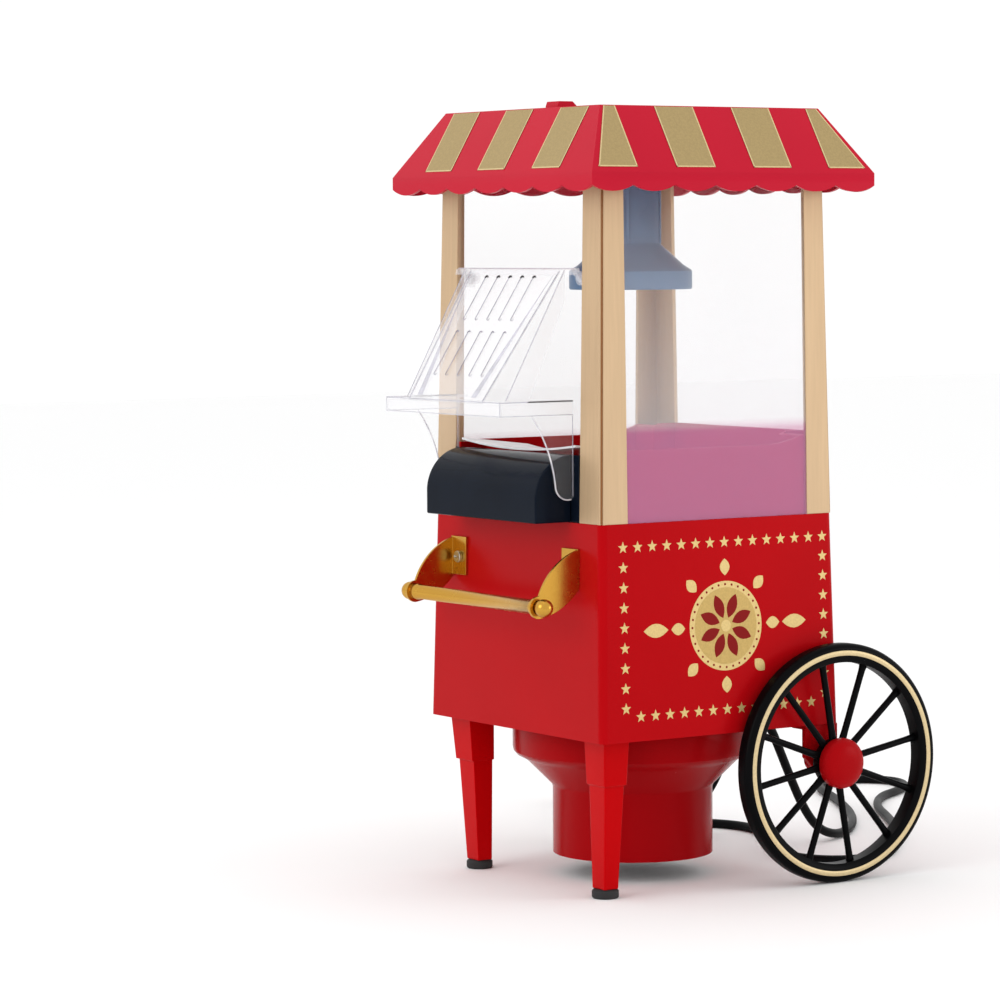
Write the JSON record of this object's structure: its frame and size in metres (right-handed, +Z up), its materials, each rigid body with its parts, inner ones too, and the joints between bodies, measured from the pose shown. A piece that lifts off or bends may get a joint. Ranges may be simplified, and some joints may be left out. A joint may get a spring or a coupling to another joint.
{
  "type": "popcorn cart",
  "caption": "Tabletop hot-air popcorn maker shaped like a cart: striped canopy on posts, clear serving hood, push handle and spoked rear wheels.",
  "frame": {"origin": "on the floor, at the middle of the cart's footprint without its cord", "axes": "+Z up, -Y towards the serving side with the hood and the push handle, +X to the right of someone at the back looking over the cart to its front, along the wheels' axle"},
  "size_m": [0.3514, 0.4595, 0.4245],
  "materials": {
    "cabinet_red": "moulded gloss",
    "cap_red": "polished moulding",
    "post_gold": "metallic gold paint",
    "clear_plastic": "clear moulding with slight haze",
    "slate_plastic": "satin",
    "lip_black": "gloss",
    "pale_plastic": "satin",
    "handle_brass": "satin",
    "foot_rubber": "matt",
    "wheel_black": "satin",
    "ring_gold": "hot-foiled line",
    "steel": "plated",
    "base_black": "textured moulding",
    "heater_wire": "oxidised",
    "mica": "mica sheet",
    "chamber_aluminium": "spun",
    "board_green": "solder mask",
    "cord_black": "extruded jacket",
    "blade_brass": "plain"
  },
  "bodies": {
    "root": {"air_jacket": "steel", "axle_clips": "steel", "axle_left": "steel", "axle_right": "steel", "base_grille": "base_black", "base_screws": "steel", "body_floor": "cabinet_red", "body_screws": "steel", "body_shell": "cabinet_red", "canopy": "cabinet_red", "circuit_board": "board_green", "coil_frame": "mica", "cord_coil": "cord_black", "cord_tail": "cord_black", "filler_duct": "slate_plastic", "foot_front_left": "foot_rubber", "foot_front_right": "foot_rubber", "handle_bar": "handle_brass", "handle_bracket_left": "handle_brass", "handle_bracket_right": "handle_brass", "handle_screws": "handle_brass", "heating_coil": "heater_wire", "hood_hinge_left": "steel", "hood_hinge_right": "steel", "hopper": "cabinet_red", "hopper_slide": "pale_plastic", "leg_front_left": "cabinet_red", "leg_front_right": "cabinet_red", "motor": "steel", "motor_mount": "base_black", "plug": "base_black", "plug_blades": "blade_brass", "popper_base": "cabinet_red", "popping_chamber": "chamber_aluminium", "post_front_left": "post_gold", "post_front_right": "post_gold", "post_rear_left": "post_gold", "post_rear_right": "post_gold", "power_cord": "cord_black", "serving_lip": "lip_black", "strain_relief": "base_black", "switch_housing": "base_black", "thermal_fuse": "heater_wire", "thermostat": "steel", "wheel_bracket_left": "cabinet_red", "wheel_bracket_right": "cabinet_red", "window_left": "clear_plastic", "window_rear": "clear_plastic", "window_right": "clear_plastic"},
    "wheel_left": {"wheel_left": "wheel_black", "wheel_ring_left": "ring_gold", "hub_cap_left": "cap_red"},
    "wheel_right": {"wheel_right": "wheel_black", "wheel_ring_right": "ring_gold", "hub_cap_right": "cap_red"},
    "hood": {"chute_hood": "clear_plastic"},
    "cup": {"measuring_cup": "cabinet_red"},
    "rocker": {"switch_rocker": "base_black"},
    "fan": {"fan_shaft": "steel", "fan_impeller": "base_black"}
  },
  "joints": [
    {"name": "wheel_left_spin", "type": "hinge", "parent": "root", "child": "wheel_left", "pos_m": [-0.09175, 0.065, 0.0653], "axis": [1, 0, 0], "continuous": true},
    {"name": "wheel_right_spin", "type": "hinge", "parent": "root", "child": "wheel_right", "pos_m": [0.09175, 0.065, 0.0653], "axis": [1, 0, 0], "continuous": true},
    {"name": "hood_swing", "type": "hinge", "parent": "root", "child": "hood", "pos_m": [0, -0.0748, 0.329], "axis": [-1, 0, 0], "range_deg": [0, 75]},
    {"name": "cup_lift", "type": "slide", "parent": "root", "child": "cup", "axis": [0, 0, 1], "range_m": [0, 0.06]},
    {"name": "rocker_tilt", "type": "hinge", "parent": "root", "child": "rocker", "pos_m": [-0.035, 0.06884, 0.146], "axis": [1, 0, 0], "range_deg": [0, 14]},
    {"name": "fan_spin", "type": "hinge", "parent": "root", "child": "fan", "pos_m": [0, -0.0063, 0.06], "axis": [0, 0, 1], "continuous": true}
  ]
}
